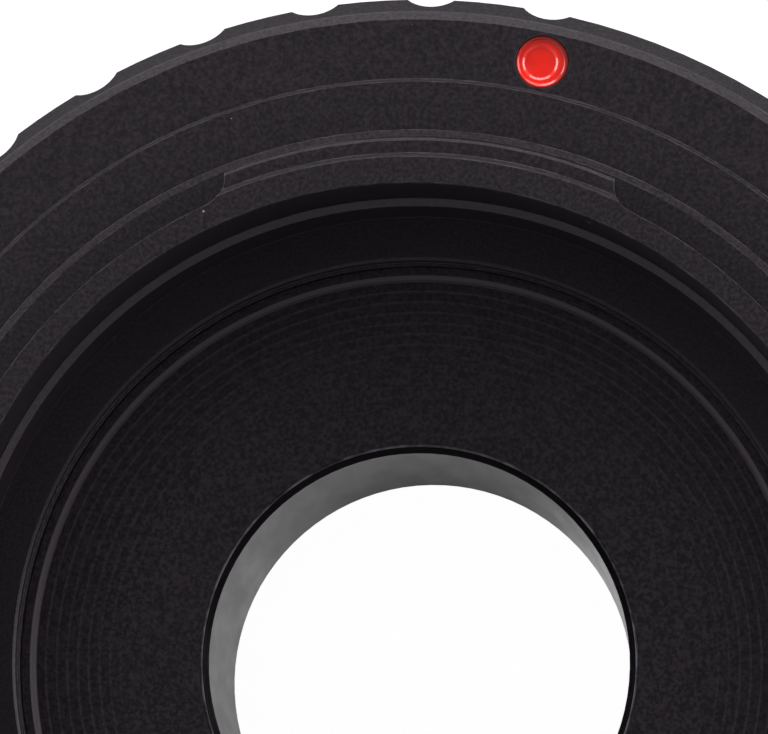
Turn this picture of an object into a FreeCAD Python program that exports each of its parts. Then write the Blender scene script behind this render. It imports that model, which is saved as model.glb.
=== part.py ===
"""Bayonet camera ring with a clamped screw-thread insert and a push-in eyepiece tube.

Millimetres. Z is the optical axis, +Z points into the camera body, and the tube's free end lies on Z = 0.
Bearings are degrees clockwise from +Y, seen from the camera side.
"""
import FreeCAD
import Part
import math
import os

# Stack along the axis
TUBE_LENGTH = 10.05
TUBE_FLANGE_THICKNESS = 4.0
REGISTER_TO_THREAD_SHOULDER = 11.0
SEAT_GAP = 0.05

# Camera thread, from which every wider radius is built up
THREAD_PITCH_RADIUS = 20.756
THREAD_CLEARANCE = 0.05
THREAD_CHAMFER = 0.15

# Thread insert, clamped in the back of the ring
INSERT_FLOOR_WIDTH = 2.12
INSERT_FLOOR_DEPTH = 5.6
INSERT_MOUTH_SLOPE = 0.37
INSERT_MOUTH_HEIGHT = 0.27
INSERT_RIM_WIDTH = 2.58
INSERT_TOP_DEPTH = 1.8
INSERT_EDGE_CHAMFER = 0.25
INSERT_RADIAL_CLEARANCE = 0.05
CLAMP_GROOVE_DEPTH = 1.0
CLAMP_DEPTH = 6.4

# Bayonet collar and lugs
COLLAR_OVERHANG = 0.09
COLLAR_UNDERCUT = 0.15
COLLAR_WALL = 1.47
COLLAR_RISE = 0.5
COLLAR_SLOPE = 0.27
COLLAR_LIP = 0.15
RIM_BREAK = 0.05
LUG_REACH = 0.95
LUG_SLOT = 1.1
LUG_THICKNESS = 1.2
LUG_CHAMFER = 0.15
LUG_COUNT = 3
LUG_HALF_ANGLE = 22.5
LUG_CUTTER_RADIUS = 1.6
MILLING_DEPTH = 0.3
PILOT_WIDTH = 0.81
PILOT_HEIGHT = 0.57
PILOT_CHAMFER = 0.37
PILOT_CHAMFER_HEIGHT = 0.12

# Flange and grip
REGISTER_WIDTH = 2.77
REGISTER_STEP = 0.35
REGISTER_STEP_SLOPE = 0.2
FLANGE_WIDTH = 3.09
FLANGE_CHAMFER = 0.45
FLANGE_CHAMFER_HEIGHT = 0.35
SHOULDER_SLOPE = 0.92
SHOULDER_HEIGHT = 1.45
BACK_CHAMFER = 0.7
BACK_RECESS = 0.3

# Grip scallops, in equal groups with a plain stretch for each clamp screw
SCALLOP_WIDTH = 2.46
SCALLOP_DEPTH = 0.53
SCALLOP_PITCH_ANGLE = 10.2
SCALLOPS_PER_GROUP = 8
SCALLOP_GROUPS = 3
FIRST_SCALLOP_BEARING = 10.45

# Clamp screws with a cone point and a hexagon socket
SCREW_RADIUS = 1.5
SCREW_CLEARANCE = 0.05
SCREW_SINK = 1.1
SCREW_TIP_CLEARANCE = 0.05
SCREW_SOCKET_ACROSS_FLATS = 1.5
SCREW_SOCKET_DEPTH = 1.6
SCREW_EDGE_CHAMFER = 0.2

# Index dot, a paint fill that sags below the flange
DOT_BEARING = 11.2
DOT_RADIUS = 1.35
DOT_CLEARANCE = 0.02
DOT_SINK = 0.8
DOT_RIM_DROP = 0.05
DOT_DISH_DEPTH = 0.25
DOT_FLOOR_RADIUS = 0.83

# Eyepiece tube
TUBE_RADIUS = 12.25
TUBE_BORE_RADIUS = 10.96
TUBE_END_CHAMFER = 0.4
BORE_CHAMFER = 0.31
TUBE_FACE_DEPTH = 8.0
TUBE_LIP_WIDTH = 0.05
TUBE_LIP_SLOPE = 0.33
TUBE_LIP_HEIGHT = 0.23
TUBE_LEAD_SETBACK = 0.29
TUBE_LEAD_HEIGHT = 0.12
TUBE_FLANGE_WIDTH = 2.27
TUBE_FLANGE_CHAMFER = 0.4
FLUTE_COUNT = 32
FLUTE_DEPTH = 0.4

# Radii worked out from the thread outwards
TUBE_THREAD_RADIUS = THREAD_PITCH_RADIUS - THREAD_CLEARANCE / 2
TUBE_FLANGE_RADIUS = TUBE_THREAD_RADIUS + TUBE_FLANGE_WIDTH
INSERT_BORE_RADIUS = THREAD_PITCH_RADIUS + THREAD_CLEARANCE / 2
INSERT_WALL_RADIUS = INSERT_BORE_RADIUS + THREAD_CHAMFER + INSERT_FLOOR_WIDTH
INSERT_MOUTH_RADIUS = INSERT_WALL_RADIUS + INSERT_MOUTH_SLOPE
INSERT_RADIUS = INSERT_MOUTH_RADIUS + INSERT_RIM_WIDTH
COLLAR_BORE_RADIUS = INSERT_MOUTH_RADIUS - COLLAR_OVERHANG
NECK_RADIUS = COLLAR_BORE_RADIUS + COLLAR_WALL
MILLED_COLLAR_RADIUS = NECK_RADIUS - MILLING_DEPTH
LUG_RADIUS = NECK_RADIUS + LUG_REACH
PILOT_RADIUS = LUG_RADIUS + PILOT_WIDTH
REGISTER_RADIUS = PILOT_RADIUS + REGISTER_WIDTH
FLANGE_RADIUS = REGISTER_RADIUS + FLANGE_WIDTH
SHOULDER_RADIUS = FLANGE_RADIUS + FLANGE_CHAMFER
GRIP_RADIUS = SHOULDER_RADIUS + SHOULDER_SLOPE
DOT_CENTRE_RADIUS = (REGISTER_RADIUS + FLANGE_RADIUS) / 2

# Levels worked out from the stack
SHOULDER_Z = TUBE_LENGTH + TUBE_FLANGE_THICKNESS
REGISTER_Z = SHOULDER_Z + REGISTER_TO_THREAD_SHOULDER
FLANGE_Z = REGISTER_Z - REGISTER_STEP
PILOT_Z = REGISTER_Z + PILOT_HEIGHT
LUG_BACK_Z = PILOT_Z + LUG_SLOT
LUG_FRONT_Z = LUG_BACK_Z + LUG_THICKNESS
RIM_Z = LUG_FRONT_Z + COLLAR_RISE
INSERT_TOP_Z = FLANGE_Z - INSERT_TOP_DEPTH
INSERT_FLOOR_Z = FLANGE_Z - INSERT_FLOOR_DEPTH
CLAMP_Z = FLANGE_Z - CLAMP_DEPTH
TUBE_FACE_Z = FLANGE_Z - TUBE_FACE_DEPTH
RING_BACK_Z = SHOULDER_Z + BACK_RECESS

# Bearing of the first clamp screw, in the middle of a plain stretch of the grip
SCALLOP_GROUP_SPAN = SCALLOP_PITCH_ANGLE * (SCALLOPS_PER_GROUP - 1)
SCREW_BEARING = FIRST_SCALLOP_BEARING + (360.0 / SCALLOP_GROUPS - SCALLOP_GROUP_SPAN) / 2

UP = FreeCAD.Vector(0, 0, 1)
CENTRE = FreeCAD.Vector(0, 0, 0)


def at_bearing(radius, bearing, z):
    """Point at a radius and a bearing clockwise from +Y."""
    angle = math.radians(bearing)
    return FreeCAD.Vector(radius * math.sin(angle), radius * math.cos(angle), z)


def outward(bearing):
    """Unit vector that points away from the axis at a bearing."""
    return at_bearing(1.0, bearing, 0.0)


def turned(outline):
    """Solid of revolution about Z from a closed outline of (radius, z) points."""
    corners = [FreeCAD.Vector(radius, 0, z) for radius, z in outline]
    face = Part.Face(Part.makePolygon(corners + corners[:1]))
    return face.revolve(CENTRE, UP, 360)


def even_bearings(count, first=0.0):
    """Bearings of a full circle of equal steps."""
    return [first + 360.0 / count * index for index in range(count)]


def scallop_bearings():
    """Bearings of every scallop, group by group."""
    bearings = []
    for group_start in even_bearings(SCALLOP_GROUPS, FIRST_SCALLOP_BEARING):
        bearings += [group_start - SCALLOP_PITCH_ANGLE * step for step in range(SCALLOPS_PER_GROUP)]
    return bearings


def scallop_cutters():
    """Upright rods that cut the hollows in the grip."""
    rod_radius = (SCALLOP_WIDTH ** 2 / 4 + SCALLOP_DEPTH ** 2) / (2 * SCALLOP_DEPTH)
    rod_centre = GRIP_RADIUS - SCALLOP_DEPTH + rod_radius
    rod_height = RIM_Z - RING_BACK_Z
    return [
        Part.makeCylinder(rod_radius, rod_height, at_bearing(rod_centre, bearing, RING_BACK_Z), UP)
        for bearing in scallop_bearings()
    ]


def gap_cutter(bearing):
    """Path of the milling cutter between two lugs, with a round at each end."""
    path_radius = MILLED_COLLAR_RADIUS + LUG_CUTTER_RADIUS
    outer_radius = MILLED_COLLAR_RADIUS + 2 * LUG_CUTTER_RADIUS
    corner_reach = math.sqrt(LUG_CUTTER_RADIUS ** 2 - (path_radius - LUG_RADIUS) ** 2)
    end_bearing = LUG_HALF_ANGLE + math.degrees(corner_reach / LUG_RADIUS)
    sweep = 360.0 / LUG_COUNT - 2 * end_bearing
    height = RIM_Z - PILOT_Z + COLLAR_RISE
    section = Part.Face(Part.makePolygon([
        FreeCAD.Vector(0, MILLED_COLLAR_RADIUS, PILOT_Z),
        FreeCAD.Vector(0, outer_radius, PILOT_Z),
        FreeCAD.Vector(0, outer_radius, PILOT_Z + height),
        FreeCAD.Vector(0, MILLED_COLLAR_RADIUS, PILOT_Z + height),
        FreeCAD.Vector(0, MILLED_COLLAR_RADIUS, PILOT_Z),
    ]))
    section.rotate(CENTRE, UP, -(bearing + end_bearing))
    path = section.revolve(CENTRE, UP, -sweep)
    ends = [
        Part.makeCylinder(LUG_CUTTER_RADIUS, height, at_bearing(path_radius, end, PILOT_Z), UP)
        for end in (bearing + end_bearing, bearing + end_bearing + sweep)
    ]
    return path.multiFuse(ends)


def screw_tip_radius():
    """Distance from the axis to the point of a clamp screw."""
    return INSERT_RADIUS - CLAMP_GROOVE_DEPTH + SCREW_TIP_CLEARANCE


def screw_head_radius():
    """Distance from the axis to the socket end of a clamp screw."""
    return GRIP_RADIUS - SCREW_SINK


def bayonet_ring():
    """Ring with the scalloped grip, the flange and the bayonet, turned and milled from one blank."""
    collar_foot = NECK_RADIUS + COLLAR_LIP
    counterbore = INSERT_RADIUS + INSERT_RADIAL_CLEARANCE
    ring = turned([
        (counterbore, RING_BACK_Z),
        (GRIP_RADIUS - BACK_CHAMFER, RING_BACK_Z),
        (GRIP_RADIUS, RING_BACK_Z + BACK_CHAMFER),
        (GRIP_RADIUS, FLANGE_Z - FLANGE_CHAMFER_HEIGHT - SHOULDER_HEIGHT),
        (SHOULDER_RADIUS, FLANGE_Z - FLANGE_CHAMFER_HEIGHT),
        (FLANGE_RADIUS, FLANGE_Z),
        (REGISTER_RADIUS, FLANGE_Z),
        (REGISTER_RADIUS - REGISTER_STEP_SLOPE, REGISTER_Z),
        (PILOT_RADIUS, REGISTER_Z),
        (PILOT_RADIUS, PILOT_Z - PILOT_CHAMFER_HEIGHT),
        (PILOT_RADIUS - PILOT_CHAMFER, PILOT_Z),
        (NECK_RADIUS, PILOT_Z),
        (NECK_RADIUS, LUG_BACK_Z),
        (LUG_RADIUS, LUG_BACK_Z),
        (LUG_RADIUS, LUG_FRONT_Z - LUG_CHAMFER),
        (LUG_RADIUS - LUG_CHAMFER, LUG_FRONT_Z),
        (collar_foot, LUG_FRONT_Z),
        (collar_foot - COLLAR_SLOPE, RIM_Z),
        (COLLAR_BORE_RADIUS + RIM_BREAK, RIM_Z),
        (COLLAR_BORE_RADIUS, RIM_Z - RIM_BREAK),
        (COLLAR_BORE_RADIUS + COLLAR_UNDERCUT, INSERT_TOP_Z + SEAT_GAP),
        (counterbore, INSERT_TOP_Z + SEAT_GAP),
    ])
    cutters = scallop_cutters()
    cutters += [gap_cutter(bearing) for bearing in even_bearings(LUG_COUNT)]
    for bearing in even_bearings(LUG_COUNT, SCREW_BEARING):
        start = at_bearing(COLLAR_BORE_RADIUS, bearing, CLAMP_Z)
        length = GRIP_RADIUS - COLLAR_BORE_RADIUS + SCREW_RADIUS
        cutters.append(Part.makeCylinder(SCREW_RADIUS + SCREW_CLEARANCE, length, start, outward(bearing)))
    dot_seat = at_bearing(DOT_CENTRE_RADIUS, DOT_BEARING, FLANGE_Z - DOT_SINK)
    cutters.append(Part.makeCylinder(DOT_RADIUS + DOT_CLEARANCE, DOT_SINK + DOT_CLEARANCE, dot_seat, UP))
    return ring.cut(cutters)


def thread_insert():
    """Inner ring with the camera thread and a vee groove for the clamp screws."""
    return turned([
        (INSERT_BORE_RADIUS + THREAD_CHAMFER, SHOULDER_Z + SEAT_GAP),
        (INSERT_RADIUS - INSERT_EDGE_CHAMFER, SHOULDER_Z + SEAT_GAP),
        (INSERT_RADIUS, SHOULDER_Z + SEAT_GAP + INSERT_EDGE_CHAMFER),
        (INSERT_RADIUS, CLAMP_Z - CLAMP_GROOVE_DEPTH),
        (INSERT_RADIUS - CLAMP_GROOVE_DEPTH, CLAMP_Z),
        (INSERT_RADIUS, CLAMP_Z + CLAMP_GROOVE_DEPTH),
        (INSERT_RADIUS, INSERT_TOP_Z - INSERT_EDGE_CHAMFER),
        (INSERT_RADIUS - INSERT_EDGE_CHAMFER, INSERT_TOP_Z),
        (INSERT_MOUTH_RADIUS, INSERT_TOP_Z),
        (INSERT_WALL_RADIUS, INSERT_TOP_Z - INSERT_MOUTH_HEIGHT),
        (INSERT_WALL_RADIUS, INSERT_FLOOR_Z),
        (INSERT_BORE_RADIUS + THREAD_CHAMFER, INSERT_FLOOR_Z),
        (INSERT_BORE_RADIUS, INSERT_FLOOR_Z - THREAD_CHAMFER),
        (INSERT_BORE_RADIUS, SHOULDER_Z + SEAT_GAP + THREAD_CHAMFER),
    ])


def clamp_screw(bearing):
    """Headless screw that points at the axis, with its cone in the insert's groove."""
    tip = screw_tip_radius()
    length = screw_head_radius() - tip
    screw = turned([
        (0.0, 0.0),
        (SCREW_RADIUS, SCREW_RADIUS),
        (SCREW_RADIUS, length - SCREW_EDGE_CHAMFER),
        (SCREW_RADIUS - SCREW_EDGE_CHAMFER, length),
        (0.0, length),
    ])
    corner_radius = SCREW_SOCKET_ACROSS_FLATS / math.sqrt(3)
    corners = [
        at_bearing(corner_radius, bearing_of_corner, length - SCREW_SOCKET_DEPTH)
        for bearing_of_corner in even_bearings(6)
    ]
    socket = Part.Face(Part.makePolygon(corners + corners[:1])).extrude(UP * SCREW_SOCKET_DEPTH)
    screw = screw.cut(socket)
    screw.Placement = FreeCAD.Placement(
        at_bearing(tip, bearing, CLAMP_Z), FreeCAD.Rotation(UP, outward(bearing)))
    return screw


def index_dot():
    """Paint fill with a dished top that marks where the bayonet goes in."""
    rise = DOT_DISH_DEPTH - DOT_RIM_DROP
    width = DOT_RADIUS - DOT_FLOOR_RADIUS
    dish_radius = (width ** 2 + rise ** 2) / (2 * rise)
    half_turn = math.asin(width / dish_radius) / 2
    foot_centre = FreeCAD.Vector(0, 0, -DOT_SINK)
    foot = FreeCAD.Vector(DOT_RADIUS, 0, -DOT_SINK)
    rim = FreeCAD.Vector(DOT_RADIUS, 0, -DOT_RIM_DROP)
    bend = FreeCAD.Vector(
        DOT_FLOOR_RADIUS + dish_radius * math.sin(half_turn), 0,
        dish_radius * (1 - math.cos(half_turn)) - DOT_DISH_DEPTH)
    floor_edge = FreeCAD.Vector(DOT_FLOOR_RADIUS, 0, -DOT_DISH_DEPTH)
    floor_centre = FreeCAD.Vector(0, 0, -DOT_DISH_DEPTH)
    outline = Part.Wire([
        Part.makeLine(foot_centre, foot),
        Part.makeLine(foot, rim),
        Part.Arc(rim, bend, floor_edge).toShape(),
        Part.makeLine(floor_edge, floor_centre),
        Part.makeLine(floor_centre, foot_centre),
    ])
    dot = Part.Face(outline).revolve(CENTRE, UP, 360)
    dot.translate(at_bearing(DOT_CENTRE_RADIUS, DOT_BEARING, FLANGE_Z))
    return dot


def flute_cutter(bearing):
    """Upright square bar, set on its edge, that cuts one vee flute in the tube's flange."""
    half = FLUTE_DEPTH * 2
    centre = TUBE_FLANGE_RADIUS - FLUTE_DEPTH + half
    corners = [
        at_bearing(centre, bearing, TUBE_LENGTH) + outward(bearing + turn) * half
        for turn in even_bearings(4)
    ]
    return Part.Face(Part.makePolygon(corners + corners[:1])).extrude(UP * TUBE_FLANGE_THICKNESS)


def eyepiece_tube():
    """Tube with a fluted flange and a threaded spigot that screws into the insert."""
    lead_radius = TUBE_THREAD_RADIUS - TUBE_LEAD_SETBACK
    lip_radius = lead_radius - TUBE_LIP_WIDTH
    lip_z = TUBE_FACE_Z + TUBE_LIP_HEIGHT
    thread_top = TUBE_FACE_Z - TUBE_LEAD_HEIGHT
    tube = turned([
        (TUBE_BORE_RADIUS + BORE_CHAMFER, 0.0),
        (TUBE_RADIUS - TUBE_END_CHAMFER, 0.0),
        (TUBE_RADIUS, TUBE_END_CHAMFER),
        (TUBE_RADIUS, TUBE_LENGTH),
        (TUBE_FLANGE_RADIUS - TUBE_FLANGE_CHAMFER, TUBE_LENGTH),
        (TUBE_FLANGE_RADIUS, TUBE_LENGTH + TUBE_FLANGE_CHAMFER),
        (TUBE_FLANGE_RADIUS, SHOULDER_Z - TUBE_FLANGE_CHAMFER),
        (TUBE_FLANGE_RADIUS - TUBE_FLANGE_CHAMFER, SHOULDER_Z),
        (TUBE_THREAD_RADIUS, SHOULDER_Z),
        (TUBE_THREAD_RADIUS, thread_top - TUBE_LEAD_SETBACK),
        (lead_radius, thread_top),
        (lead_radius, lip_z),
        (lip_radius, lip_z),
        (lip_radius - TUBE_LIP_SLOPE, TUBE_FACE_Z),
        (TUBE_BORE_RADIUS + BORE_CHAMFER, TUBE_FACE_Z),
        (TUBE_BORE_RADIUS, TUBE_FACE_Z - BORE_CHAMFER),
        (TUBE_BORE_RADIUS, BORE_CHAMFER),
    ])
    return tube.cut([flute_cutter(bearing) for bearing in even_bearings(FLUTE_COUNT)])


def main():
    """Build every piece and write it."""
    pieces = {
        "bayonet_ring": bayonet_ring(),
        "thread_insert": thread_insert(),
        "index_dot": index_dot(),
        "eyepiece_tube": eyepiece_tube(),
    }
    for number, bearing in enumerate(even_bearings(LUG_COUNT, SCREW_BEARING), start=1):
        pieces[f"clamp_screw_{number}"] = clamp_screw(bearing)
    os.makedirs("parts", exist_ok=True)
    for name, shape in pieces.items():
        shape.exportStep(f"parts/{name}.step")
        box = shape.BoundBox
        print(f"{name}: {len(shape.Solids)} solid, valid {shape.isValid()}, volume {shape.Volume:.1f} mm3, "
              f"box {box.XLength:.2f} x {box.YLength:.2f} x {box.ZLength:.2f}, foot at {box.ZMin:.2f}")


main()
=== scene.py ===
"""Looks of a black bayonet camera ring with its thread insert and eyepiece tube.

The ring lies tube down on a white studio table. The script dresses the solids of the part, and models the
paint-filled index dot, the turned grooves of the tube's face and the camera thread as pieces of their own.
"""
import logging
import math
from dataclasses import dataclass
from enum import Enum
from typing import Any, Sequence

import bpy
from mathutils import Matrix, Vector

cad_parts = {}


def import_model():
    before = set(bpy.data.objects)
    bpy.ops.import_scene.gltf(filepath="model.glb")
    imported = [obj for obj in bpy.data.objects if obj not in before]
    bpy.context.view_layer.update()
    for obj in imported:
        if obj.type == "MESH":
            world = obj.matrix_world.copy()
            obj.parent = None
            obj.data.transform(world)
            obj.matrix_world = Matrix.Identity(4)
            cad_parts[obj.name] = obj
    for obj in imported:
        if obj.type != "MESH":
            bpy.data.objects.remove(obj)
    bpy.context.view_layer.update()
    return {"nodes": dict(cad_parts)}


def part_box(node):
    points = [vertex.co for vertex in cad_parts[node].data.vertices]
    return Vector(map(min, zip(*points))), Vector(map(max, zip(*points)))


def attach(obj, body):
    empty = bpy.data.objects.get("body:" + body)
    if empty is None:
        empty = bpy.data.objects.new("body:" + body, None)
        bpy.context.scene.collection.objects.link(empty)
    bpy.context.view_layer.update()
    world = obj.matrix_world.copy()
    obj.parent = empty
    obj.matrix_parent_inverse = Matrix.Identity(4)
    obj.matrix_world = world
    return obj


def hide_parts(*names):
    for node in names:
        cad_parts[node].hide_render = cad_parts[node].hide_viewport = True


LOG = logging.getLogger("camera_ring")
MM = 0.001
SHEEN_TINT = "#FFF5FD"
WHITE = (1.0, 1.0, 1.0, 1.0)
MERGE_DISTANCE = 1e-7

# Rays that round an edge, and the cosines of its turn at which wear starts and is full
EDGE_SAMPLES = 4
WEAR_TURN = (0.9985, 0.988)

Tree = bpy.types.NodeTree
Socket = bpy.types.NodeSocket
Colour = tuple[float, float, float, float]
Span = tuple[float, float]
Corner = tuple[float, float]


class Body(Enum):
    """Bodies of the part that move as one."""

    RING = "ring"
    INSERT = "insert"
    TUBE = "tube"


class Slot(Enum):
    """Material slots of the part's record."""

    RING = "ring_black"
    INSERT = "insert_black"
    TUBE = "tube_black"
    DOT = "red_enamel"
    SCREW = "screw_steel"


def linear(hex_colour: str) -> Colour:
    """Turn an sRGB hex colour into linear light.

    Args:
        hex_colour: Six hex digits after a hash sign.

    Returns:
        Red, green, blue and a full alpha.
    """
    channels = [int(hex_colour[start:start + 2], 16) / 255 for start in (1, 3, 5)]
    light = [c / 12.92 if c <= 0.04045 else ((c + 0.055) / 1.055) ** 2.4 for c in channels]
    return light[0], light[1], light[2], 1.0


def add_node(tree: Tree, kind: str, settings: dict[str, Any] | None = None, **inputs: Any) -> bpy.types.Node:
    """Add one node, set its options and its sockets, and link what comes from other nodes.

    Args:
        tree: Node tree that gets the node.
        kind: Blender's name of the node type.
        settings: Options of the node itself.
        **inputs: Socket values by socket name, with underscores for spaces, or by number, as in in0. A node's
            output becomes a link.

    Returns:
        The new node.
    """
    node = tree.nodes.new(kind)
    for option, value in (settings or {}).items():
        setattr(node, option, value)
    for label, value in inputs.items():
        key = int(label[2:]) if label.startswith("in") and label[2:].isdigit() else label.replace("_", " ")
        if isinstance(value, Socket):
            tree.links.new(value, node.inputs[key])
        else:
            node.inputs[key].default_value = value
    return node


def calculate(tree: Tree, operation: str, *values: float | Socket) -> Socket:
    """Work out one number from others.

    Args:
        tree: Node tree that gets the node.
        operation: Blender's name of the operation.
        *values: Numbers or outputs of other nodes, in the order of the sockets.

    Returns:
        The result.
    """
    sockets = {f"in{number}": value for number, value in enumerate(values)}
    return add_node(tree, "ShaderNodeMath", {"operation": operation}, **sockets).outputs[0]


def remap(tree: Tree, value: Socket, before: Span, after: Span = (0.0, 1.0)) -> Socket:
    """Map one span of values onto another, and hold its ends.

    Args:
        tree: Node tree that gets the node.
        value: Number to map.
        before: Span that the number runs through.
        after: Span of the result.

    Returns:
        The mapped number.
    """
    return add_node(tree, "ShaderNodeMapRange", Value=value, From_Min=before[0], From_Max=before[1],
                    To_Min=after[0], To_Max=after[1]).outputs[0]


def mix_numbers(tree: Tree, share: Socket, first: float | Socket, second: float | Socket) -> Socket:
    """Blend two numbers.

    Args:
        tree: Node tree that gets the node.
        share: Share of the second number.
        first: Number where the share is 0.
        second: Number where the share is 1.

    Returns:
        The blended number.
    """
    blend = add_node(tree, "ShaderNodeMix", {"data_type": "FLOAT"}, in0=share, in2=first, in3=second)
    return blend.outputs[0]


def mix_colours(tree: Tree, share: Socket, first: Colour | Socket, second: Colour | Socket) -> Socket:
    """Blend two colours.

    Args:
        tree: Node tree that gets the node.
        share: Share of the second colour.
        first: Colour where the share is 0.
        second: Colour where the share is 1.

    Returns:
        The blended colour.
    """
    blend = add_node(tree, "ShaderNodeMix", {"data_type": "RGBA"}, in0=share, in6=first, in7=second)
    return blend.outputs[2]


def two_tones(tree: Tree, share: Socket, dark: str, light: str, ends: Span) -> Socket:
    """Shade a pattern from a dark tone to a light one.

    Args:
        tree: Node tree that gets the node.
        share: Pattern, from 0 to 1.
        dark: Hex colour of the low parts.
        light: Hex colour of the high parts.
        ends: Shares at which the tones are reached.

    Returns:
        The colour.
    """
    ramp = add_node(tree, "ShaderNodeValToRGB", Fac=share)
    for element, position, tone in zip(ramp.color_ramp.elements, ends, (dark, light)):
        element.position = position
        element.color = linear(tone)
    return ramp.outputs["Color"]


def noise(tree: Tree, place: Socket, size_mm: float, detail: float, roughness: float = 0.5) -> Socket:
    """Make a cloudy pattern.

    Args:
        tree: Node tree that gets the node.
        place: Coordinates, in metres.
        size_mm: Size of the clouds, in millimetres.
        detail: Number of finer layers.
        roughness: Weight of the finer layers.

    Returns:
        The pattern, from 0 to 1.
    """
    return add_node(tree, "ShaderNodeTexNoise", Vector=place, Scale=1.0 / (size_mm * MM), Detail=detail,
                    Roughness=roughness).outputs["Fac"]


def blank_material(name: str) -> tuple[bpy.types.Material, Tree, Socket]:
    """Make a material with nothing in its node tree but the coordinates of the piece.

    Args:
        name: Name of the material.

    Returns:
        The material, its node tree and the object coordinates, in metres.
    """
    material = bpy.data.materials.new(name)
    material.use_nodes = True
    tree = material.node_tree
    tree.nodes.clear()
    return material, tree, add_node(tree, "ShaderNodeTexCoord").outputs["Object"]


def axis_distance(tree: Tree, place: Socket) -> Socket:
    """Measure how far a point lies from an upright axis.

    Args:
        tree: Node tree that gets the nodes.
        place: Coordinates, counted from the axis.

    Returns:
        The distance, in metres.
    """
    flat = add_node(tree, "ShaderNodeVectorMath", {"operation": "MULTIPLY"}, in0=place, in1=(1.0, 1.0, 0.0))
    length = add_node(tree, "ShaderNodeVectorMath", {"operation": "LENGTH"}, in0=flat.outputs[0])
    return length.outputs["Value"]


def in_strip(tree: Tree, radius: Socket, middle_mm: float, half_mm: float) -> Socket:
    """Pick out a narrow round strip.

    Args:
        tree: Node tree that gets the node.
        radius: Distance from the axis, in metres.
        middle_mm: Radius of the strip's middle, in millimetres.
        half_mm: Half of its width, in millimetres.

    Returns:
        1 in the strip and 0 elsewhere.
    """
    return calculate(tree, "COMPARE", radius, middle_mm * MM, half_mm * MM)


def wear_and_highlight_patches(tree: Tree, place: Socket, size_mm: float, noise_span: Span, patch_span: Span) -> Socket:
    """Break abrasion and painted highlights into uneven patches.

    Args:
        tree: Node tree that gets the nodes.
        place: Object coordinates.
        size_mm: Size of the patches, in millimetres.
        noise_span: Span of the noise over which the patches grow.
        patch_span: Least and most strength of the patches.

    Returns:
        The strength of each patch.
    """
    return remap(tree, noise(tree, place, size_mm, detail=2.0), noise_span, patch_span)


def rounded_edge(tree: Tree, width_mm: float) -> Socket:
    """Round the edges of a piece in its shading.

    Args:
        tree: Node tree that gets the node.
        width_mm: Radius of the rounding, in millimetres.

    Returns:
        The rounded normals.
    """
    return add_node(tree, "ShaderNodeBevel", {"samples": EDGE_SAMPLES}, Radius=width_mm * MM).outputs[0]


def edge_wear_and_highlight(tree: Tree, edge: Socket, strength: float) -> Socket:
    """Find the thin lines along the edges of a piece, lightened partly as abraded anodising and partly as a
    painted highlight where the edges catch the light.

    Args:
        tree: Node tree that gets the nodes.
        edge: Normals rounded over the edges.
        strength: Share of lightening on an edge, from 0 to 1.

    Returns:
        The share of lightening, 0 away from the edges.
    """
    flat = add_node(tree, "ShaderNodeNewGeometry").outputs["Normal"]
    turn = add_node(tree, "ShaderNodeVectorMath", {"operation": "DOT_PRODUCT"}, in0=flat, in1=edge)
    return remap(tree, turn.outputs["Value"], WEAR_TURN, (0.0, strength))


def dress(piece: bpy.types.Object, material: bpy.types.Material) -> None:
    """Give a whole piece one material.

    Args:
        piece: Object to dress.
        material: Finish of the whole piece.
    """
    piece.data.materials.clear()
    piece.data.materials.append(material)


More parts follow.
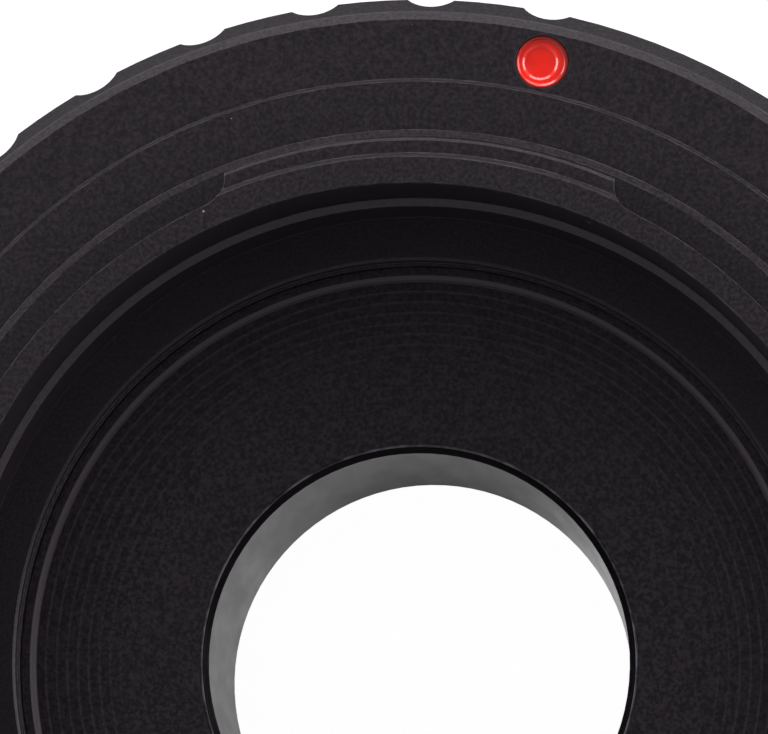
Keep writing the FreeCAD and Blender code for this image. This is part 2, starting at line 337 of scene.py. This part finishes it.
@dataclass(frozen=True)
class BlastedAnodising:
    """Bead-blasted aluminium, dyed black: a matt charcoal with a fine grey grain, a few bright specks as
    painted glints, and edges lightened partly by abrasion and partly as a painted highlight.
    """

    name: str = "blasted_black_anodised_aluminium"
    dark: str = "#030204"
    light: str = "#272228"
    tone_ends: Span = (0.36, 0.68)
    grain_mm: float = 0.2
    grain_detail: float = 3.0
    grain_roughness: float = 0.65
    relief_mm: float = 0.012
    relief_strength: float = 0.35
    # Painted glints: sparse bright specks over the surface.
    glint: str = "#8A868C"
    glint_mm: float = 2.2
    glint_share: float = 0.04
    # Edges are lightened partly as abraded anodising and partly as a painted highlight where the edges catch
    # the light.
    worn_and_lit: str = "#5A555B"
    wear_and_highlight: float = 0.8
    patch_mm: float = 1.4
    patch_noise: Span = (0.42, 0.62)
    patch_span: Span = (0.15, 1.0)
    edge_mm: float = 0.06
    roughness: float = 0.58
    sheen: float = 0.3
    smooth_mm: float = 26.38
    smooth_half_mm: float = 0.21
    smooth_sheen: float = 0.24
    grip_mm: float = 32.95
    grip_sheen: float = 0.14

    def colour(self, tree: Tree, place: Socket, grain: Socket, edge: Socket) -> Socket:
        """Lay the lightened edges, partly abrasion and partly painted highlight, and the painted glints over
        the dyed grain.

        Args:
            tree: Node tree of the finish.
            place: Object coordinates.
            grain: Pattern of the blasting.
            edge: Normals rounded over the edges.

        Returns:
            The colour.
        """
        dye = two_tones(tree, grain, self.dark, self.light, self.tone_ends)
        # Edge lines: partly abraded anodising, partly a painted highlight where the edges catch the light.
        patches = wear_and_highlight_patches(tree, place, self.patch_mm, self.patch_noise, self.patch_span)
        wear_and_highlight = calculate(tree, "MULTIPLY", patches, edge_wear_and_highlight(tree, edge, self.wear_and_highlight))
        dye = mix_colours(tree, wear_and_highlight, dye, linear(self.worn_and_lit))
        # Painted glints: sparse bright specks laid over the colour.
        cells = add_node(tree, "ShaderNodeTexVoronoi", Vector=place, Scale=1.0 / (self.glint_mm * MM))
        size = calculate(tree, "MULTIPLY", cells.outputs["Color"], self.glint_share)
        is_glint = calculate(tree, "LESS_THAN", cells.outputs["Distance"], size)
        return mix_colours(tree, is_glint, dye, linear(self.glint))

    def shine(self, tree: Tree, place: Socket) -> Socket:
        """Make the pilot's chamfer and the handled grip reflect less than the blasted faces.

        Args:
            tree: Node tree of the finish.
            place: Object coordinates.

        Returns:
            The strength of the reflection.
        """
        radius = axis_distance(tree, place)
        smooth = in_strip(tree, radius, self.smooth_mm, self.smooth_half_mm)
        sheen = mix_numbers(tree, smooth, self.sheen, self.smooth_sheen)
        grip = calculate(tree, "GREATER_THAN", radius, self.grip_mm * MM)
        return mix_numbers(tree, grip, sheen, self.grip_sheen)

    def material(self) -> bpy.types.Material:
        """Build the finish with its grain on object coordinates.

        Returns:
            The new material.
        """
        material, tree, place = blank_material(self.name)
        grain = noise(tree, place, self.grain_mm, self.grain_detail, self.grain_roughness)
        edge = rounded_edge(tree, self.edge_mm)
        relief = add_node(tree, "ShaderNodeBump", Height=grain, Strength=self.relief_strength,
                          Distance=self.relief_mm * MM, Normal=edge)
        skin = add_node(tree, "ShaderNodeBsdfPrincipled", Base_Color=self.colour(tree, place, grain, edge),
                        Roughness=self.roughness, Specular_IOR_Level=self.shine(tree, place),
                        Specular_Tint=linear(SHEEN_TINT), Normal=relief.outputs[0])
        add_node(tree, "ShaderNodeOutputMaterial", Surface=skin.outputs[0])
        return material


@dataclass(frozen=True)
class TurnedAnodising:
    """Lathe-turned aluminium, dyed black: darker and smoother, with faint rings left by the tool."""

    name: str = "turned_black_anodised_aluminium"
    dark: str = "#0E0D0F"
    light: str = "#1F1D20"
    tone_ends: Span = (0.4, 0.62)
    grain_mm: float = 0.25
    grain_detail: float = 2.0
    grain_roughness: float = 0.6
    feed_mm: float = 0.14
    feed_waver: float = 0.4
    edge_mm: float = 0.05
    roughness: float = 0.42
    sheen: float = 0.5
    relief_mm: float = 0.006
    relief_strength: float = 0.3

    def tint(self, tree: Tree, place: Socket, colour: Socket) -> Socket:
        """Give the colour back as it is; a finish that changes over the piece takes this over."""
        return colour

    def gloss(self, tree: Tree, place: Socket) -> float | Socket:
        """Give the roughness, one value for the whole piece unless a finish takes this over."""
        return self.roughness

    def material(self) -> bpy.types.Material:
        """Build the finish with rings about the optical axis.

        Returns:
            The new material.
        """
        material, tree, place = blank_material(self.name)
        grain = noise(tree, place, self.grain_mm, self.grain_detail, self.grain_roughness)
        shade = two_tones(tree, grain, self.dark, self.light, self.tone_ends)
        # The wave texture turns its sine by 20 radians for each unit of length times scale, so this scale
        # cuts one ring for each feed of the tool.
        rings = add_node(tree, "ShaderNodeTexWave",
                         {"wave_type": "RINGS", "rings_direction": "Z", "wave_profile": "SIN"},
                         Vector=place, Scale=math.pi / (10.0 * self.feed_mm * MM), Distortion=self.feed_waver)
        relief = add_node(tree, "ShaderNodeBump", Height=calculate(tree, "ADD", grain, rings.outputs["Fac"]),
                          Strength=self.relief_strength, Distance=self.relief_mm * MM,
                          Normal=rounded_edge(tree, self.edge_mm))
        skin = add_node(tree, "ShaderNodeBsdfPrincipled", Base_Color=self.tint(tree, place, shade),
                        Roughness=self.gloss(tree, place), Specular_IOR_Level=self.sheen,
                        Specular_Tint=linear(SHEEN_TINT), Normal=relief.outputs[0])
        add_node(tree, "ShaderNodeOutputMaterial", Surface=skin.outputs[0])
        return material


@dataclass(frozen=True)
class GroovedAnodising(TurnedAnodising):
    """Turned black face with fine grooves, darkened by painted shade more and more towards its plain lip,
    with painted highlights on the lip and on the burr of the bore.
    """

    name: str = "grooved_black_anodised_aluminium"
    # Painted shade: over the next two radii the colour darkens outward, down to rim_share of itself.
    shade_from_mm: float = 14.5
    shade_to_mm: float = 19.0
    rim_share: float = 0.6
    lip_mm: float = 20.12
    lip_half_mm: float = 0.17
    # Painted highlight: the lip band is painted in the next plain light tone, free of grain and painted
    # shade.
    lip: str = "#363037"
    burr_mm: float = 11.33
    burr_half_mm: float = 0.06
    # Painted highlight: the next tone lays patchy bright marks on the burr of the bore.
    burr_highlight: str = "#8A858B"
    patch_mm: float = 0.9
    patch_noise: Span = (0.4, 0.65)
    patch_span: Span = (0.1, 0.8)

    def tint(self, tree: Tree, place: Socket, colour: Socket) -> Socket:
        """Paint shade that darkens the colour from the middle of the face to the last groove, a plain light
        tone on the lip as a painted highlight, and patchy painted highlights on the burr of the bore.

        Args:
            tree: Node tree of the finish.
            place: Object coordinates.
            colour: Colour before the change.

        Returns:
            The changed colour.
        """
        radius = axis_distance(tree, place)
        # Painted shade: the colour darkens from the middle of the face towards the lip.
        painted_shade = remap(tree, radius, (self.shade_from_mm * MM, self.shade_to_mm * MM), (1.0, self.rim_share))
        dyed = add_node(tree, "ShaderNodeVectorMath", {"operation": "SCALE"}, in0=colour, Scale=painted_shade)
        # Painted highlight: the lip band takes a plain light tone in place of the grain and the painted
        # shade.
        lip = in_strip(tree, radius, self.lip_mm, self.lip_half_mm)
        dyed = mix_colours(tree, lip, dyed.outputs[0], linear(self.lip))
        # Painted highlight: patchy bright marks along the burr of the bore.
        burr = in_strip(tree, radius, self.burr_mm, self.burr_half_mm)
        patches = wear_and_highlight_patches(tree, place, self.patch_mm, self.patch_noise, self.patch_span)
        wear_and_highlight = calculate(tree, "MULTIPLY", burr, patches)
        return mix_colours(tree, wear_and_highlight, dyed, linear(self.burr_highlight))


@dataclass(frozen=True)
class BoredAnodising(TurnedAnodising):
    """Turned black tube with a smoother bore, which shows faint streaks along its wall."""

    name: str = "turned_black_anodised_tube"
    bore_mm: float = 11.29
    polished: float = 0.2
    dulled: float = 0.27
    streak_mm: float = 1.6
    streak_stretch: float = 5.0
    streak_detail: float = 3.0
    streak_noise: Span = (0.35, 0.65)

    def outside(self, tree: Tree, place: Socket) -> Socket:
        """Tell the outside of the tube (1) from its bore and the bore's chamfers (0)."""
        return calculate(tree, "GREATER_THAN", axis_distance(tree, place), self.bore_mm * MM)

    def tint(self, tree: Tree, place: Socket, colour: Socket) -> Socket:
        """Leave the grain out of the bore and its chamfers."""
        return mix_colours(tree, self.outside(tree, place), linear(self.dark), colour)

    def gloss(self, tree: Tree, place: Socket) -> float | Socket:
        """Make the bore smoother than the rest of the tube.

        Args:
            tree: Node tree of the finish.
            place: Object coordinates.

        Returns:
            The roughness.
        """
        along = add_node(tree, "ShaderNodeVectorMath", {"operation": "MULTIPLY"}, in0=place,
                         in1=(1.0, 1.0, 1.0 / self.streak_stretch))
        streaks = noise(tree, along.outputs[0], self.streak_mm, self.streak_detail)
        wall = remap(tree, streaks, self.streak_noise, (self.polished, self.dulled))
        return mix_numbers(tree, self.outside(tree, place), wall, self.roughness)


@dataclass(frozen=True)
class PaintFill:
    """Red enamel paint, dropped in a drilled hole and left to dry: glossy, with a slightly uneven skin and
    painted shade on one side of its rim.
    """

    centre: Vector
    radius_mm: float
    name: str = "red_enamel_paint_fill"
    # Painted shade: the next colour darkens the rim, widest towards +X and +Y.
    thin: str = "#8E130C"
    deep: str = "#E41C12"
    bright: str = "#F8281A"
    tone_ends: Span = (0.3, 0.6)
    thin_from: float = 0.74
    ripple_mm: float = 1.4
    ripple_detail: float = 1.0
    relief_mm: float = 0.03
    relief_strength: float = 0.4
    roughness: float = 0.14
    coat: float = 0.4
    coat_roughness: float = 0.05

    def material(self) -> bpy.types.Material:
        """Build the paint with a soft ripple.

        Returns:
            The new material.
        """
        material, tree, place = blank_material(self.name)
        ripple = noise(tree, place, self.ripple_mm, self.ripple_detail)
        shade = two_tones(tree, ripple, self.deep, self.bright, self.tone_ends)
        # Painted shade: the rim darkens, counted from a centre set off towards -X and -Y, so the shade is
        # widest towards +X and +Y.
        away = add_node(tree, "ShaderNodeVectorMath", {"operation": "SUBTRACT"}, in0=place, in1=self.centre)
        radius = self.radius_mm * MM
        rim = remap(tree, axis_distance(tree, away.outputs[0]), (self.thin_from * radius, radius))
        relief = add_node(tree, "ShaderNodeBump", Height=ripple, Strength=self.relief_strength,
                          Distance=self.relief_mm * MM)
        skin = add_node(tree, "ShaderNodeBsdfPrincipled",
                        Base_Color=mix_colours(tree, rim, shade, linear(self.thin)),
                        Roughness=self.roughness, Normal=relief.outputs[0],
                        Coat_Weight=self.coat, Coat_Roughness=self.coat_roughness)
        add_node(tree, "ShaderNodeOutputMaterial", Surface=skin.outputs[0])
        return material


@dataclass(frozen=True)
class BlackOxideSteel:
    """Alloy steel with an oil-black oxide skin, as on socket set screws: dark, half glossy and blotchy."""

    name: str = "black_oxide_steel"
    dark: str = "#2A2A2C"
    light: str = "#4A4A4D"
    tone_ends: Span = (0.35, 0.7)
    blotch_mm: float = 1.2
    blotch_detail: float = 3.0
    roughness: float = 0.38

    def material(self) -> bpy.types.Material:
        """Build the oxide skin with soft blotches.

        Returns:
            The new material.
        """
        material, tree, place = blank_material(self.name)
        blotch = noise(tree, place, self.blotch_mm, self.blotch_detail)
        shade = two_tones(tree, blotch, self.dark, self.light, self.tone_ends)
        skin = add_node(tree, "ShaderNodeBsdfPrincipled", Base_Color=shade, Metallic=1.0,
                        Roughness=self.roughness)
        add_node(tree, "ShaderNodeOutputMaterial", Surface=skin.outputs[0])
        return material


def draw_outline(name: str, outline_mm: Sequence[Corner], centre: Vector) -> bpy.types.Object:
    """Draw half of a turned section, vertex by vertex, in the plane of X and Z.

    Args:
        name: Name of the new object.
        outline_mm: Radius and height of each corner, in millimetres, from the start to the end.
        centre: Point on the axis from which the heights count, in metres.

    Returns:
        The wire, as an object at the origin.
    """
    bpy.ops.object.select_all(action="DESELECT")
    bpy.ops.mesh.primitive_plane_add(size=MM, location=(0.0, 0.0, 0.0))
    piece = bpy.context.object
    piece.name = piece.data.name = name
    bpy.ops.object.mode_set(mode="EDIT")
    bpy.ops.mesh.select_all(action="SELECT")
    bpy.ops.mesh.merge(type="CENTER")
    corners = [centre + Vector((radius * MM, 0.0, height * MM)) for radius, height in outline_mm]
    bpy.ops.transform.translate(value=corners[0])
    for before, after in zip(corners, corners[1:]):
        bpy.ops.mesh.extrude_vertices_move(TRANSFORM_OT_translate={"value": after - before})
    bpy.ops.mesh.select_all(action="SELECT")
    bpy.ops.mesh.remove_doubles(threshold=MERGE_DISTANCE)
    bpy.ops.object.mode_set(mode="OBJECT")
    return piece


def spin_outline(name: str, outline_mm: Sequence[Corner], centre: Vector, steps: int) -> bpy.types.Object:
    """Model a turned piece: draw half of its section, then spin it about an upright axis.

    Args:
        name: Name of the new object.
        outline_mm: Radius and height of each corner, in millimetres, from the start to the end.
        centre: Point on the axis from which the heights count, in metres.
        steps: Number of steps in the full turn.

    Returns:
        The finished object, at the origin with its place in its mesh.
    """
    piece = draw_outline(name, outline_mm, centre)
    bpy.ops.object.mode_set(mode="EDIT")
    bpy.ops.mesh.select_all(action="SELECT")
    bpy.ops.mesh.spin(steps=steps, angle=math.tau, center=centre, axis=(0.0, 0.0, 1.0))
    bpy.ops.mesh.select_all(action="SELECT")
    bpy.ops.mesh.remove_doubles(threshold=MERGE_DISTANCE)
    bpy.ops.mesh.normals_make_consistent(inside=False)
    bpy.ops.object.mode_set(mode="OBJECT")
    return piece


@dataclass
class BayonetRing:
    """Ring with the grip, the flange, the lugs, the clamp screws and the index dot.

    The dot's profile gives shares of its radius and heights in millimetres, from the wall to the middle.
    """

    nodes: dict[str, bpy.types.Object]
    dot_profile: tuple[Corner, ...] = (
        (1.0, -0.03), (0.985, -0.005), (0.965, 0.0), (0.93, -0.008), (0.9, -0.03), (0.875, -0.06),
        (0.85, -0.09), (0.82, -0.108), (0.78, -0.114), (0.73, -0.116), (0.69, -0.124), (0.66, -0.145),
        (0.63, -0.178), (0.6, -0.208), (0.57, -0.226), (0.52, -0.238), (0.4, -0.243), (0.0, -0.245),
    )
    dot_lean_mm: float = 0.1
    dish_share: float = 0.8
    rim_share: float = 0.97
    dot_steps: int = 96
    screw_count: int = 3

    def dress_solids(self) -> None:
        """Give the ring its blasted finish, and the screws one finish between them."""
        dress(self.nodes["bayonet_ring"], BlastedAnodising().material())
        oxide = BlackOxideSteel().material()
        for number in range(1, self.screw_count + 1):
            dress(self.nodes[f"clamp_screw_{number}"], oxide)

    def lean_dish(self, dot: bpy.types.Object, middle: Vector, radius: float, reach: float) -> None:
        """Push the dish of the paint to one side, with less and less of the push towards the rim.

        Args:
            dot: Paint fill, as spun.
            middle: Middle of its top, in metres.
            radius: Its radius, in metres.
            reach: Depth under its top down to which corners belong to the dish, in metres.
        """
        bpy.ops.object.mode_set(mode="EDIT")
        bpy.ops.mesh.select_all(action="DESELECT")
        bpy.ops.object.mode_set(mode="OBJECT")
        for corner in dot.data.vertices:
            offset = corner.co - middle
            corner.select = offset.z > -reach and offset.to_2d().length < self.dish_share * radius
        bpy.ops.object.mode_set(mode="EDIT")
        bpy.ops.transform.translate(value=(-self.dot_lean_mm * MM, 0.0, 0.0), use_proportional_edit=True,
                                    proportional_edit_falloff="LINEAR",
                                    proportional_size=(self.rim_share - self.dish_share) * radius,
                                    use_proportional_connected=True)
        bpy.ops.object.mode_set(mode="OBJECT")

    def build_dot(self) -> bpy.types.Object:
        """Model the paint fill: a lip that creeps up the wall of the hole, a round dish and a flat floor.

        Returns:
            The dressed dot, in place of the plain one.
        """
        low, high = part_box("index_dot")
        centre = Vector(((low.x + high.x) / 2, (low.y + high.y) / 2, high.z))
        radius = (high.x - low.x) / 2 / MM
        depth = (high.z - low.z) / MM
        outline = [(0.0, -depth), (radius, -depth)]
        outline += [(share * radius, height) for share, height in self.dot_profile]
        dot = spin_outline("index_dot_paint", outline, centre, self.dot_steps)
        self.lean_dish(dot, centre, radius * MM, depth * MM / 2)
        for face in dot.data.polygons:
            face.use_smooth = True
        # The painted shade on the rim is centred off towards -X and -Y.
        rim_shade_offset = Vector((-self.dot_lean_mm, -self.dot_lean_mm, 0.0)) * MM
        dress(dot, PaintFill(centre + rim_shade_offset, radius).material())
        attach(dot, Body.RING.value)
        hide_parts("index_dot")
        return dot


@dataclass
class ThreadInsert:
    """Inner ring with the camera thread. Lengths in millimetres."""

    nodes: dict[str, bpy.types.Object]
    root_radius: float = 20.8
    crest_radius: float = 20.715
    pitch: float = 0.75
    root_width: float = 0.74
    crest_width: float = 0.12
    top_drop: float = 3.93
    turns: int = 2
    steps: int = 144

    def dress_solids(self, black: bpy.types.Material) -> None:
        """Give the insert its finish."""
        dress(self.nodes["thread_insert"], black)

    def build_thread(self, black: bpy.types.Material) -> bpy.types.Object:
        """Model the turns of the thread that show above the tube: a ridge wound up the bore.

        Args:
            black: Finish of the thread.

        Returns:
            The ridge, which runs out under the chamfer of the thread.
        """
        top_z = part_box("thread_insert")[1].z - self.top_drop * MM
        start_z = top_z - (self.root_width / 2 + self.turns * self.pitch) * MM
        section = [
            (self.root_radius, -self.root_width / 2), (self.crest_radius, -self.crest_width / 2),
            (self.crest_radius, self.crest_width / 2), (self.root_radius, self.root_width / 2),
            (self.root_radius, -self.root_width / 2),
        ]
        ridge = draw_outline("insert_thread", section, Vector((0.0, 0.0, start_z)))
        winding = ridge.modifiers.new("winding", "SCREW")
        winding.screw_offset = self.pitch * MM
        winding.iterations = self.turns
        winding.steps = winding.render_steps = self.steps
        winding.use_normal_calculate = True
        bpy.ops.object.modifier_apply(modifier=winding.name)
        bpy.ops.object.mode_set(mode="EDIT")
        bpy.ops.mesh.select_all(action="SELECT")
        bpy.ops.mesh.remove_doubles(threshold=MERGE_DISTANCE)
        bpy.ops.mesh.fill_holes(sides=len(section) - 1)
        bpy.ops.mesh.select_all(action="SELECT")
        bpy.ops.mesh.normals_make_consistent(inside=False)
        bpy.ops.object.mode_set(mode="OBJECT")
        dress(ridge, black)
        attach(ridge, Body.INSERT.value)
        return ridge


@dataclass
class EyepieceTube:
    """Tube with the fluted flange. Lengths in millimetres."""

    nodes: dict[str, bpy.types.Object]
    inner_radius: float = 11.27
    burr_width: float = 0.15
    burr_height: float = 0.06
    ridge_start: float = 13.8
    ridge_pitch: float = 0.56
    ridge_width: float = 0.12
    ridge_height: float = 0.023
    foot_radius: float = 19.97
    foot_width: float = 0.09
    foot_height: float = 0.13
    lip_radius: float = 20.28
    outer_radius: float = 20.735
    face_drop: float = 0.23
    skin: float = 0.01
    bed_depth: float = 0.1
    steps: int = 240

    def dress_solids(self, black: bpy.types.Material) -> None:
        """Give the tube its finish."""
        dress(self.nodes["eyepiece_tube"], black)

    def face_outline(self) -> list[Corner]:
        """Draw the section of the face, from the burr of the bore over the ridges to the lip.

        Returns:
            Radius and height above the face of each corner, closed along the bed.
        """
        outline = [
            (self.inner_radius, -self.bed_depth), (self.inner_radius, self.skin),
            (self.inner_radius + self.burr_width / 3, self.burr_height),
            (self.inner_radius + self.burr_width, self.skin),
        ]
        count = int((self.foot_radius - self.ridge_start) / self.ridge_pitch)
        for number in range(count):
            start = self.ridge_start + number * self.ridge_pitch
            # The ridges grow over the inner half of their row and stay at full height from there.
            height = self.skin + self.ridge_height * min(1.0, 2.0 * (number + 1) / count)
            outline += [(start, self.skin), (start + self.ridge_width, height)]
        lip_height = self.face_drop + self.skin / 2
        return outline + [
            (self.foot_radius, self.skin), (self.foot_radius + self.foot_width, self.foot_height),
            (self.lip_radius, lip_height), (self.outer_radius, lip_height),
            (self.outer_radius, -self.bed_depth), (self.inner_radius, -self.bed_depth),
        ]

    def build_grooves(self, black: bpy.types.Material) -> bpy.types.Object:
        """Model the turned grooves that keep light from glancing off the face.

        Args:
            black: Finish of the face.

        Returns:
            A thin ring bedded in the face, whose upper side carries the grooves.
        """
        face_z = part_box("eyepiece_tube")[1].z - self.face_drop * MM
        centre = Vector((0.0, 0.0, face_z))
        grooves = spin_outline("tube_face_grooves", self.face_outline(), centre, self.steps)
        dress(grooves, black)
        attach(grooves, Body.TUBE.value)
        return grooves


@dataclass(frozen=True)
class Softbox:
    """One soft lamp. Lengths in metres, power in watts."""

    name: str
    place: tuple[float, float, float]
    width: float
    height: float
    power: float

    def hang(self, aim: Vector) -> None:
        """Hang the lamp, out of the camera's sight.

        Args:
            aim: Point that it faces, in metres.
        """
        light = bpy.data.lights.new(self.name, "AREA")
        light.shape = "RECTANGLE"
        light.size = self.width
        light.size_y = self.height
        light.energy = self.power
        lamp = bpy.data.objects.new(self.name, light)
        bpy.context.scene.collection.objects.link(lamp)
        place = Vector(self.place)
        turn = (aim - place).to_track_quat("-Z", "Y").to_matrix().to_4x4()
        lamp.matrix_world = Matrix.Translation(place) @ turn
        lamp.visible_camera = False


@dataclass
class Studio:
    """White table, soft lamps and the camera. Lengths in metres where the name says nothing else."""

    floor_size: float = 3.0
    floor_gap_mm: float = 0.02
    floor_white: str = "#CCCCCC"
    glow: float = 0.5
    bore_glow: float = 0.95
    bore_span_mm: Span = (11.0, 12.0)
    near_glow: float = 0.36
    far_glow: float = 0.11
    far_span_mm: Span = (5.0, 11.0)
    right_gain: float = 1.8
    right_span_mm: Span = (4.0, 9.0)
    horizon: float = 0.8
    ceiling: float = 0.2
    ceiling_span: Span = (0.35, 0.9)
    lamp_aim: tuple[float, float, float] = (0.0, 0.0, 0.02)
    lamps: tuple[Softbox, ...] = (
        Softbox("key", (0.0, 0.6, 0.2), 0.7, 0.24, 3.0),
        Softbox("left_fill", (-0.5, 0.18, 0.2), 0.4, 0.24, 2.0),
        Softbox("right_fill", (0.5, 0.18, 0.2), 0.4, 0.24, 2.0),
    )
    camera_place_mm: tuple[float, float, float] = (13.56, -18.58, 287.51)
    camera_aim_mm: tuple[float, float, float] = (-1.71, 14.43, 24.7)
    camera_roll_deg: float = -1.39
    lens_mm: float = 244.8
    sensor_mm: float = 36.0
    clip_start: float = 0.01

    def floor_strength(self, tree: Tree, place: Socket) -> Socket:
        """Work out how much the table glows for the camera and for the mirror images in the bore.

        Args:
            tree: Node tree of the table.
            place: Object coordinates.

        Returns:
            The strength of the glow.
        """
        ray = add_node(tree, "ShaderNodeLightPath").outputs
        # Little light reaches the table through the bore, where it still has to look as white as outside.
        bore_span = (self.bore_span_mm[0] * MM, self.bore_span_mm[1] * MM)
        seen = remap(tree, axis_distance(tree, place), bore_span, (self.bore_glow, self.glow))
        # Painted reflection: for mirror rays the table glows less towards +Y and more towards +X, so the
        # bore's wall mirrors it darker on its +Y side and brighter on its +X side.
        across = add_node(tree, "ShaderNodeSeparateXYZ", in0=place).outputs
        far_span = (self.far_span_mm[0] * MM, self.far_span_mm[1] * MM)
        level = remap(tree, across["Y"], far_span, (self.near_glow, self.far_glow))
        right_span = (self.right_span_mm[0] * MM, self.right_span_mm[1] * MM)
        gain = remap(tree, across["X"], right_span, (1.0, self.right_gain))
        is_mirrored = calculate(tree, "MAXIMUM", ray["Is Glossy Ray"], ray["Is Transmission Ray"])
        mirrored = calculate(tree, "MULTIPLY", is_mirrored, calculate(tree, "MULTIPLY", level, gain))
        return calculate(tree, "MULTIPLY_ADD", ray["Is Camera Ray"], seen, mirrored)

    def build_floor(self) -> None:
        """Lay the white table under the tube's end, seen as white and still taking a soft shadow."""
        bpy.ops.object.select_all(action="DESELECT")
        bpy.ops.mesh.primitive_plane_add(size=self.floor_size, location=(0.0, 0.0, -self.floor_gap_mm * MM))
        floor = bpy.context.object
        floor.name = "table"
        material, tree, place = blank_material("white_table")
        matt = add_node(tree, "ShaderNodeBsdfDiffuse", Color=linear(self.floor_white))
        glow = add_node(tree, "ShaderNodeEmission", Color=WHITE, Strength=self.floor_strength(tree, place))
        both = add_node(tree, "ShaderNodeAddShader", in0=matt.outputs[0], in1=glow.outputs[0])
        # From below the table is clear, so that the tube's end can be looked at.
        below = add_node(tree, "ShaderNodeNewGeometry").outputs["Backfacing"]
        clear = add_node(tree, "ShaderNodeBsdfTransparent")
        side = add_node(tree, "ShaderNodeMixShader", in0=below, in1=both.outputs[0], in2=clear.outputs[0])
        add_node(tree, "ShaderNodeOutputMaterial", Surface=side.outputs[0])
        floor.data.materials.append(material)

    def build_world(self) -> None:
        """Set a white backdrop with a plain, dimmer light for everything but the camera."""
        world = bpy.data.worlds.new("studio")
        bpy.context.scene.world = world
        world.use_nodes = True
        tree = world.node_tree
        tree.nodes.clear()
        ray = add_node(tree, "ShaderNodeLightPath").outputs
        way = add_node(tree, "ShaderNodeTexCoord").outputs["Generated"]
        height = add_node(tree, "ShaderNodeSeparateXYZ", in0=way).outputs["Z"]
        level = remap(tree, height, self.ceiling_span, (self.horizon, self.ceiling))
        strength = mix_numbers(tree, ray["Is Camera Ray"], level, 1.0)
        sky = add_node(tree, "ShaderNodeBackground", Color=WHITE, Strength=strength)
        add_node(tree, "ShaderNodeOutputWorld", Surface=sky.outputs[0])

    def build_lamps(self) -> None:
        """Light the ring from behind the dot and a little from each side."""
        for lamp in self.lamps:
            lamp.hang(Vector(self.lamp_aim))

    def build_camera(self) -> None:
        """Place the camera above the ring, nearly along its axis, as in the photograph."""
        place = Vector(self.camera_place_mm) * MM
        aim = Vector(self.camera_aim_mm) * MM
        roll = math.radians(self.camera_roll_deg)
        ahead = (aim - place).normalized()
        right = ahead.cross(Vector((math.sin(roll), math.cos(roll), 0.0))).normalized()
        up = right.cross(ahead)
        lens = bpy.data.cameras.new("camera")
        lens.lens = self.lens_mm
        lens.sensor_width = self.sensor_mm
        lens.clip_start = self.clip_start
        camera = bpy.data.objects.new("camera", lens)
        bpy.context.scene.collection.objects.link(camera)
        turn = Matrix((right, up, -ahead)).transposed().to_4x4()
        camera.matrix_world = Matrix.Translation(place) @ turn
        bpy.context.scene.camera = camera
        bpy.context.scene.view_settings.view_transform = "Standard"


def main() -> None:
    """Dress the part, model its fine pieces and set up the studio."""
    logging.basicConfig(level=logging.INFO, format="%(message)s")
    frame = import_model()
    nodes = frame["nodes"]
    insert_black = TurnedAnodising("turned_black_anodised_insert", "#181319", "#252026",
                                   grain_mm=0.18, sheen=0.42)
    # Painted light: the thread gets a lighter black than the insert, to lift the shade on its deep wall.
    lightened_thread_black = TurnedAnodising("lightened_black_anodised_thread", "#231F24", "#383339",
                                   roughness=0.5, sheen=0.2)
    tube_black = BoredAnodising(dark="#070508", light="#343035")
    face_black = GroovedAnodising(dark="#0C090D", light="#363038", grain_mm=0.2)
    ring = BayonetRing(nodes)
    ring.dress_solids()
    LOG.info("index dot: %d faces", len(ring.build_dot().data.polygons))
    insert = ThreadInsert(nodes)
    insert.dress_solids(insert_black.material())
    LOG.info("insert thread: %d faces", len(insert.build_thread(lightened_thread_black.material()).data.polygons))
    tube = EyepieceTube(nodes)
    tube.dress_solids(tube_black.material())
    LOG.info("tube face: %d faces", len(tube.build_grooves(face_black.material()).data.polygons))
    studio = Studio()
    studio.build_floor()
    studio.build_world()
    studio.build_lamps()
    studio.build_camera()


if __name__ == "__main__":
    main()
